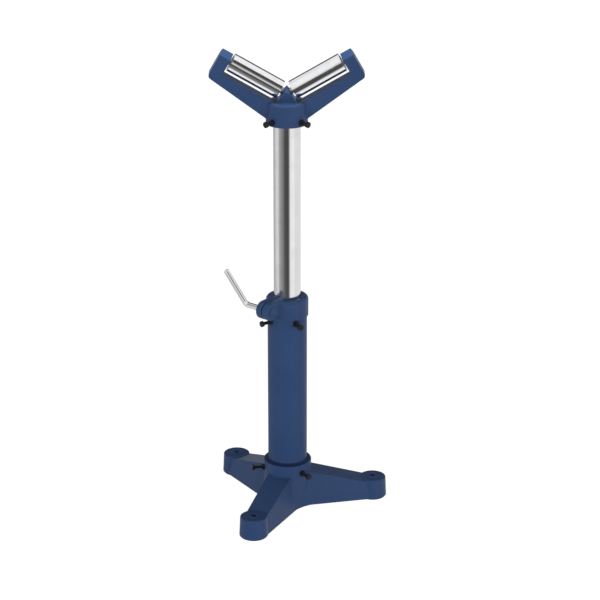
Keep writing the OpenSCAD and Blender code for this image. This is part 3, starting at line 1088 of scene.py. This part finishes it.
@dataclass(frozen=True)
class Column:
    """The column pipe, the split clamp on it, and the clamp's lever.

    Angles are in degrees. The lever's lengths run along the clamp's screw from the slit's
    middle, and on from the bend along the arm.
    """

    skirt_r: float = 39.4 * MM
    bolt_angles: tuple[float, float] = (216.0, 295.0)
    bolt_out: float = 28.0 * MM
    slit_turn: float = 230.0
    screw_reach: float = 69.3 * MM
    screw_r: float = 6.0 * MM
    screw_pitch: float = 1.75 * MM
    screw_end: float = -15.2 * MM
    collar_r: float = 10.0 * MM
    collar_low: float = 20.1 * MM
    collar_high: float = 25.1 * MM
    rim_r: float = 0.6 * MM
    crown_r: float = 1.0 * MM
    fillet_r: float = 0.9 * MM
    fillet_in: float = 1.1 * MM
    overlap: float = 0.1 * MM
    lever_r: float = 6.5 * MM
    bar_low: float = 22.0 * MM
    corner: float = 60.5 * MM
    bend_r: float = 15.0 * MM
    bend: float = 48.0
    arm: float = 92.0 * MM
    tip_share: float = 0.55

    def lever_axis(self) -> Axis:
        """The clamp screw's line, from the slit's middle out through the lever's ear."""
        low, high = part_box("clamp_washer")
        height = (low.z + high.z) / 2.0
        turn = math.radians(self.slit_turn)
        out = Vector((math.cos(turn), math.sin(turn), 0.0))
        along = Vector((math.sin(turn), -math.cos(turn), 0.0))
        return Axis(out * self.screw_reach + Vector((0.0, 0.0, height)), along)

    def bar(self) -> Points:
        """The bent bar: circles carried along a line that turns through the bend.

        The line is straight, then an arc of the bend's radius, then straight again, along the
        direction (sin b, cos b) of the bend's angle b. The circles have one radius, and at
        the tip they close as a quarter of an ellipse.

        Returns:
            An array of rows, columns and 3 in the screw's own frame.
        """
        bend = math.radians(self.bend)
        run = self.bend_r * math.tan(bend / 2.0)
        start = self.corner - run
        tip_length = self.tip_share * self.lever_r
        stem_rows, bend_rows, arm_rows, tip_rows, columns = 6, 25, 14, 9, 48
        straight = np.linspace(self.bar_low, start, stem_rows)[:-1]
        turn = np.linspace(0.0, bend, bend_rows)
        reach = np.linspace(0.0, self.arm - run - tip_length, arm_rows)[1:]
        tip = np.linspace(0.0, TAU / 4.0, tip_rows)[1:]
        x, z = self.bend_r * (1.0 - np.cos(turn)), start + self.bend_r * np.sin(turn)
        curve = np.stack([x, z], 1)
        on = np.concatenate([reach, reach[-1] + tip_length * np.sin(tip)])
        arm = curve[-1] + on[:, None] * np.array([math.sin(bend), math.cos(bend)])
        line = np.concatenate([np.stack([0.0 * straight, straight], 1), curve, arm])
        tilt = np.concatenate([0.0 * straight, turn, np.full(len(on), bend)])[:, None]
        radius = np.full((len(line), 1), self.lever_r)
        radius[-len(tip) :, 0] *= np.cos(tip)
        around = full_turn(columns)
        side, lift = radius * np.cos(around), radius * np.sin(around)
        bent = [side, line[:, :1] + lift * np.cos(tilt), line[:, 1:] - lift * np.sin(tilt)]
        return np.stack(bent, -1)

    def collar(self) -> Points:
        """The lever's collar, revolved: a rim, a crown and a fillet up to the bar."""
        low, high = self.collar_low, self.collar_high
        end = high + self.crown_r
        rim = (self.collar_r - self.rim_r, low + self.rim_r)
        crown = (self.collar_r - self.crown_r, high - self.crown_r)
        fillet = (self.lever_r + self.fillet_in, high + self.fillet_r)
        profile = np.concatenate(
            [
                [[0.0, low]],
                arc(rim, self.rim_r, -90, 0, 4),
                arc(crown, self.crown_r, 0, 90, 5),
                arc(fillet, self.fillet_r, 270, 190, 4),
                [[self.lever_r - self.overlap, end], [0.0, end]],
            ]
        )
        return revolved(profile, 64)

    def lever(self) -> bpy.types.Object:
        """The lever: the bent bar, a rounded collar and the screw's thread."""
        axis = self.lever_axis()
        bar = self.bar()
        screw = thread(self.screw_r, self.screw_pitch, self.screw_end, self.collar_low)
        surfaces = {
            "lever_bar": np.concatenate([bar[:1] * UP, bar]),
            "lever_collar": self.collar(),
            "lever_screw": np.concatenate([screw[:1] * UP, screw, screw[-1:] * UP]),
        }
        parts = [grid_mesh(name, axis.carry(points)) for name, points in surfaces.items()]
        return joined("clamp_lever_bent", parts, LEVER_SHARP)

    def build(self) -> None:
        """Dress the pipe and the clamp, and build the lever and the bolts."""
        dress("column_tube", PIPE)
        dress("clamp_casting", CASTING)
        dress("clamp_washer", STEEL)
        seat(self.lever(), "lever", LEVER_CHROME, "clamp_lever")
        low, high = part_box("column_set_bolts")
        BoltRing(
            "stand",
            "column_set_bolts",
            "column_lock_nuts",
            angles=self.bolt_angles,
            height=(low.z + high.z) / 2.0,
            tip=self.skirt_r + CLEARANCE,
            surface=COLUMN_R,
            reach=COLUMN_R + self.bolt_out,
        ).build()


@dataclass(frozen=True)
class Mast:
    """The chromed mast with its guide bush and the V head."""

    mast_r: float = 30.15 * MM
    hub_r: float = 46.15 * MM
    bolt_angles: tuple[float, float] = (228.0, 312.0)
    bolt_out: float = 24.0 * MM

    def build(self) -> None:
        """Dress the mast's nodes and build the head's bolts."""
        dress("mast_tube", MAST_CHROME)
        dress("guide_bush", BUSH_BRONZE)
        dress("bush_circlips", OXIDE)
        dress("head_casting", CASTING)
        low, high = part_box("head_set_bolts")
        BoltRing(
            "mast",
            "head_set_bolts",
            "head_lock_nuts",
            angles=self.bolt_angles,
            height=(low.z + high.z) / 2.0,
            tip=self.mast_r + CLEARANCE,
            surface=self.hub_r,
            reach=self.hub_r + self.bolt_out,
        ).build()
        for node in ("axle_left", "axle_right", "axle_spacers", "bearing_inner_rings"):
            dress(node, STEEL)
        dress("axle_grub_screws", OXIDE)


class Side(Enum):
    """Which of the two rollers."""

    LEFT = "left"
    RIGHT = "right"


@dataclass(frozen=True)
class Roller:
    """One roller: its pipe, plugs and bearings."""

    side: Side

    def build(self) -> None:
        """Dress the roller's nodes."""
        dress(f"roller_tube_{self.side.value}", ROLLER_CHROME)
        for part in ("roller_plugs", "bearing_outer_rings", "bearing_balls"):
            dress(f"{part}_{self.side.value}", STEEL)


# ---------------------------------------------------------------- studio


WHITE = (1.0, 1.0, 1.0, 1.0)


@dataclass(frozen=True)
class Softbox:
    """A soft lamp for matt surfaces: chrome and the camera don't see it."""

    name: str
    size: tuple[float, float]
    power: float
    place: Triple
    aim: Triple

    def hang(self) -> None:
        """Hang the lamp in its place, turned to its aim."""
        data = bpy.data.lights.new(self.name, "AREA")
        data.shape = "RECTANGLE"
        data.size, data.size_y = self.size
        data.energy = self.power
        made = linked(self.name, data)
        made.location = self.place
        beam = Vector(self.aim) - Vector(self.place)
        made.rotation_euler = beam.to_track_quat("-Z", "Y").to_euler()
        made.visible_glossy = False
        made.visible_camera = False


@dataclass(frozen=True)
class Studio:
    """The camera, a white floor, two softboxes, and a world like a lit tent.

    Lengths are in metres, the camera's pitch and yaw in radians, other angles in degrees, and
    lights in strengths of the world. An edge is where a soft edge starts and where it is
    complete: left and right ones in azimuth, low and top ones in height. Those of the soft
    light's front and back are in the direction's y. Each row of the low sweep is an edge in
    azimuth, and by how much the light changes over it.
    """

    stand_off: float = 4.7
    eye_height: float = 2.27
    pitch: float = math.radians(20.69)
    yaw: float = 0.0061
    focal_pixels: float = 2237.0
    frame_pixels: float = 600.0
    sensor: float = 36.0
    far: float = 100.0
    floor_half: float = 9.0
    floor_grey: float = 0.86
    floor_glow: float = 1.2
    floor_white: float = 0.8
    soft_around: float = 0.16
    soft_band: float = 0.6
    soft_top: Edge = (38.0, 14.0)
    soft_front: float = 1.44
    soft_front_y: Edge = (0.5, -0.9)
    soft_back: float = 1.25
    soft_back_y: Edge = (0.35, 1.0)
    tent_white: float = 1.02
    tent_power: float = 0.87
    strip_dark: float = 0.96
    strip_left: Edge = (-22.0, -13.0)
    strip_right: Edge = (95.0, 70.0)
    strip_low: Edge = (8.0, 22.0)
    strip_top: Edge = (45.0, 40.0)
    strip_drop: float = 10.0
    strip_drop_right: Edge = (28.0, 12.0)
    faint_dark: float = 0.5
    faint_left: Edge = (2.0, 14.0)
    faint_low: Edge = (-8.0, 4.0)
    card_dark: float = 0.65
    card_left: Edge = (-128.0, -112.0)
    card_right: Edge = (-72.0, -80.0)
    card_low: Edge = (8.0, 16.0)
    card_top: Edge = (54.0, 46.0)
    screen_dark: float = 0.98
    screen_sides: Edge = (138.0, 150.0)
    screen_low: Edge = (1.0, 12.0)
    screen_top: Edge = (64.0, 54.0)
    flag_left: Edge = (-60.0, -40.0)
    flag_right: Edge = (3.0, -6.0)
    flag_top: Edge = (11.0, 3.0)
    flag_glow: float = 0.12
    flag_glow_top: Edge = (-17.0, -30.0)
    sweep_low: Edge = (-62.0, -42.0)
    sweep_top: Edge = (1.0, -7.0)
    sweep_back: float = 0.52
    low_sweep: tuple[Triple, ...] = (
        (-130.0, -100.0, 0.27),
        (-85.0, -62.0, -0.39),
        (-62.0, -40.0, -0.15),
        (-40.0, -14.0, -0.18),
        (10.0, 33.0, 0.94),
        (62.0, 73.0, -0.12),
        (150.0, 180.0, -0.33),
    )
    softboxes: tuple[Softbox, ...] = (
        Softbox("front_softbox", (2.0, 0.4), 7.5, (0.0, -1.6, 0.25), (0.0, 0.0, 0.2)),
        Softbox("head_softbox", (0.35, 0.35), 4.2, (0.0, 0.02, 1.5), (0.0, 0.0, 1.0)),
    )

    def camera(self) -> None:
        """Place the camera, looking along its yaw and pitch, with a long lens."""
        data = bpy.data.cameras.new("camera")
        data.sensor_width = self.sensor
        data.lens = self.focal_pixels / self.frame_pixels * self.sensor
        data.clip_end = self.far
        made = linked("camera", data)
        made.location = (0.0, -self.stand_off, self.eye_height)
        made.rotation_euler = (math.pi / 2.0 - self.pitch, 0.0, -self.yaw)
        bpy.context.scene.camera = made

    def floor(self) -> None:
        """A wide floor that the camera sees as white, darkened only by the object's shadow."""
        half = self.floor_half
        corners = np.array([[[x, y, 0.0] for x in (-half, half)] for y in (-half, half)])
        made = grid_mesh("floor", corners, around=False)
        material = bpy.data.materials.new("studio_floor")
        material.use_nodes = True
        tree = Tree(material.node_tree)
        seen = tree.node("ShaderNodeLightPath", output="Is Camera Ray")
        grey = (self.floor_grey, self.floor_grey, self.floor_grey, 1.0)
        matt = tree.node("ShaderNodeBsdfDiffuse", None, {"Color": grey})
        glow = {"Color": WHITE, "Strength": self.floor_glow}
        white = tree.node("ShaderNodeEmission", None, glow)
        sockets = {0: seen * self.floor_white, 1: matt, 2: white}
        shader = tree.node("ShaderNodeMixShader", None, sockets)
        tree.node("ShaderNodeOutputMaterial", None, {"Surface": shader})
        made.data.materials.append(material)
        made.visible_glossy = False

    def soft_light(self, y: Value, height: Value) -> Value:
        """What lights matt surfaces: a band round the horizon, stronger in front and behind.

        Args:
            y: The direction's y, -1 straight in front.
            height: Its angle over the horizon, in degrees.

        Returns:
            The light's strength.
        """
        front = y.step(*self.soft_front_y) * self.soft_front
        back = y.step(*self.soft_back_y) * self.soft_back
        band = height.step(*self.soft_top)
        return self.soft_around + band * (self.soft_band + front + back)

    def tent_light(self, azimuth: Value, height: Value) -> Value:
        """What polished faces mirror: a white tent with dark flags, a card and a screen.

        Low in it runs a sweep: white on the right, a dark flag in front that is sharp on its
        right and fades to its left, and a grey back. Above eye level a dark strip hangs on
        the right, with a fainter one under it, and a grey card on the left, and a dark screen
        stands behind.

        Args:
            azimuth: The direction's angle from the front, positive to the right, in degrees.
            height: Its angle over the horizon, in degrees.

        Returns:
            The light's strength.
        """
        flag = azimuth.step(*self.flag_right) * azimuth.step(*self.flag_left)
        sweep: Operand = self.sweep_back
        for start, end, change in self.low_sweep:
            sweep = sweep + azimuth.step(start, end) * change
        sweep = sweep + height.step(*self.flag_glow_top) * flag * self.flag_glow
        top = height.step(*self.sweep_top) * (1.0 - flag) + height.step(*self.flag_top) * flag
        low = height.step(*self.sweep_low) * top
        faint = height.step(*self.faint_low) * azimuth.step(*self.faint_left) * self.faint_dark
        dark = height.step(*self.strip_low) * azimuth.step(*self.strip_left)
        drop = azimuth.step(*self.strip_drop_right) * self.strip_drop
        strip = (height - drop).step(*self.strip_top) * azimuth.step(*self.strip_right)
        strip = strip * (faint + (self.strip_dark - faint) * dark)
        card = height.step(*self.card_low) * height.step(*self.card_top)
        card = card * azimuth.step(*self.card_right) * azimuth.step(*self.card_left)
        screen = azimuth.absolute().step(*self.screen_sides)
        screen = screen * height.step(*self.screen_top) * height.step(*self.screen_low)
        tent = self.tent_white - strip - card * self.card_dark - screen * self.screen_dark
        return (tent + (sweep - tent) * low) * self.tent_power

    def world(self) -> None:
        """The world: white for the camera, the tent for mirrors, soft light for the rest."""
        world = bpy.data.worlds.new("studio")
        bpy.context.scene.world = world
        world.use_nodes = True
        tree = Tree(world.node_tree)
        x, y, z = tree.parts(tree.node("ShaderNodeTexCoord", output="Generated"))
        around = tree.node("ShaderNodeMath", {"operation": "ARCTAN2"}, {0: x, 1: 0.0 - y})
        over = tree.node("ShaderNodeMath", {"operation": "ARCSINE"}, {0: z})
        azimuth, height = around * math.degrees(1.0), over * math.degrees(1.0)
        path = tree.node("ShaderNodeLightPath").socket.node.outputs
        camera, sharp = (Value(tree, path[n]) for n in ("Is Camera Ray", "Is Glossy Ray"))
        soft = self.soft_light(y, height)
        plain = (1.0 - sharp) * (soft + (1.0 - soft) * camera)
        strength = self.tent_light(azimuth, height) * sharp + plain
        light = {"Color": WHITE, "Strength": strength}
        background = tree.node("ShaderNodeBackground", None, light)
        tree.node("ShaderNodeOutputWorld", None, {"Surface": background})

    def build(self) -> None:
        """Build the studio, and set the plain view transform."""
        self.camera()
        self.floor()
        self.world()
        for softbox in self.softboxes:
            softbox.hang()
        bpy.context.scene.view_settings.view_transform = "Standard"


def main() -> None:
    """Build the studio and the stand."""
    logging.basicConfig(level=logging.INFO, format="%(name)s: %(message)s")
    Studio().build()
    for part in (Base(), Column(), Mast(), Roller(Side.LEFT), Roller(Side.RIGHT)):
        part.build()


if __name__ == "__main__":
    main()
